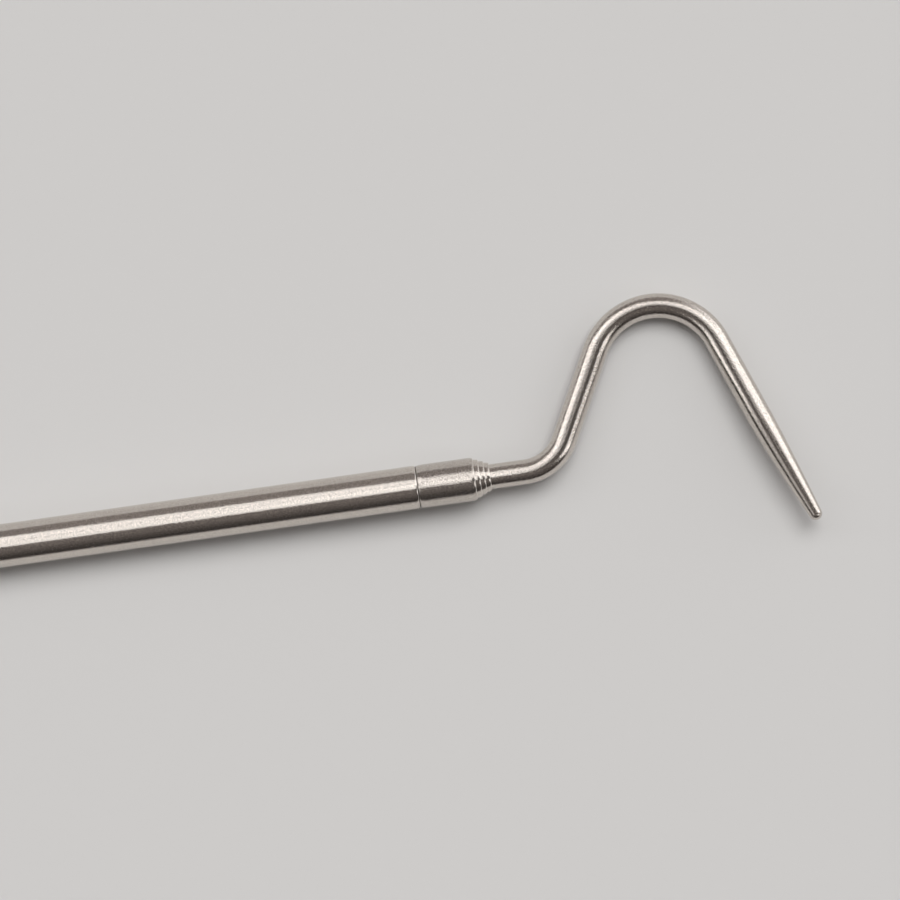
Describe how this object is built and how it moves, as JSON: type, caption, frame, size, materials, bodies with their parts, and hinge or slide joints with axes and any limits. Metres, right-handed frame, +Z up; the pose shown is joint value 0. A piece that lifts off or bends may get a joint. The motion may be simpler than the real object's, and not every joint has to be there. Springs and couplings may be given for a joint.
{
  "type": "telescopic snake hook",
  "caption": "Pocket snake hook: a blunt tapered hook of bent round rod, drawing out of nested telescoping steel tubes with an end plug and pocket clip.",
  "frame": {"origin": "centre of the end plug's flat back face, on the tubes' axis", "axes": "+X along the tubes from the end plug to the hook, +Y towards the side the hook bows to, +Z up from the table that the closed tool lies on, on the pocket clip's side"},
  "size_m": [0.1903, 0.0398, 0.0088],
  "materials": {
    "handle_steel": "satin stainless tube, polished along its length",
    "collar_steel": "turned stainless, a little duller and finely speckled",
    "section_steel": "satin stainless tube",
    "rod_steel": "satin stainless rod, a little grainier than the tubes",
    "plug_steel": "turned stainless",
    "clip_steel": "rolled spring stainless",
    "bush_brass": "turned brass",
    "spring_bronze": "rolled phosphor bronze strip"
  },
  "bodies": {
    "handle": {"handle_tube": "handle_steel", "handle_collar": "collar_steel", "end_plug": "plug_steel", "pocket_clip": "clip_steel"},
    "second_springs": {"second_spring_left": "spring_bronze", "second_spring_right": "spring_bronze"},
    "second_section": {"second_tube": "section_steel", "second_bush": "bush_brass"},
    "third_springs": {"third_spring_left": "spring_bronze", "third_spring_right": "spring_bronze"},
    "third_section": {"third_tube": "section_steel", "third_bush": "bush_brass"},
    "fourth_springs": {"fourth_spring_left": "spring_bronze", "fourth_spring_right": "spring_bronze"},
    "fourth_section": {"fourth_tube": "section_steel", "fourth_bush": "bush_brass"},
    "rod_springs": {"rod_spring_left": "spring_bronze", "rod_spring_right": "spring_bronze"},
    "hook": {"hook_rod": "rod_steel"}
  },
  "joints": [
    {"name": "second_slide", "type": "slide", "parent": "handle", "child": "second_springs", "axis": [1, 0, 0], "range_m": [0, 0.1139]},
    {"name": "second_swivel", "type": "hinge", "parent": "second_springs", "child": "second_section", "pos_m": [0.0056, 0, 0], "axis": [1, 0, 0], "continuous": true},
    {"name": "third_slide", "type": "slide", "parent": "second_section", "child": "third_springs", "axis": [1, 0, 0], "range_m": [0, 0.1195]},
    {"name": "third_swivel", "type": "hinge", "parent": "third_springs", "child": "third_section", "pos_m": [0.012, 0, 0], "axis": [1, 0, 0], "continuous": true},
    {"name": "fourth_slide", "type": "slide", "parent": "third_section", "child": "fourth_springs", "axis": [1, 0, 0], "range_m": [0, 0.1139]},
    {"name": "fourth_swivel", "type": "hinge", "parent": "fourth_springs", "child": "fourth_section", "pos_m": [0.0184, 0, 0], "axis": [1, 0, 0], "continuous": true},
    {"name": "rod_slide", "type": "slide", "parent": "fourth_section", "child": "rod_springs", "axis": [1, 0, 0], "range_m": [0, 0.1084]},
    {"name": "rod_swivel", "type": "hinge", "parent": "rod_springs", "child": "hook", "pos_m": [0.0248, 0, 0], "axis": [1, 0, 0], "continuous": true}
  ]
}
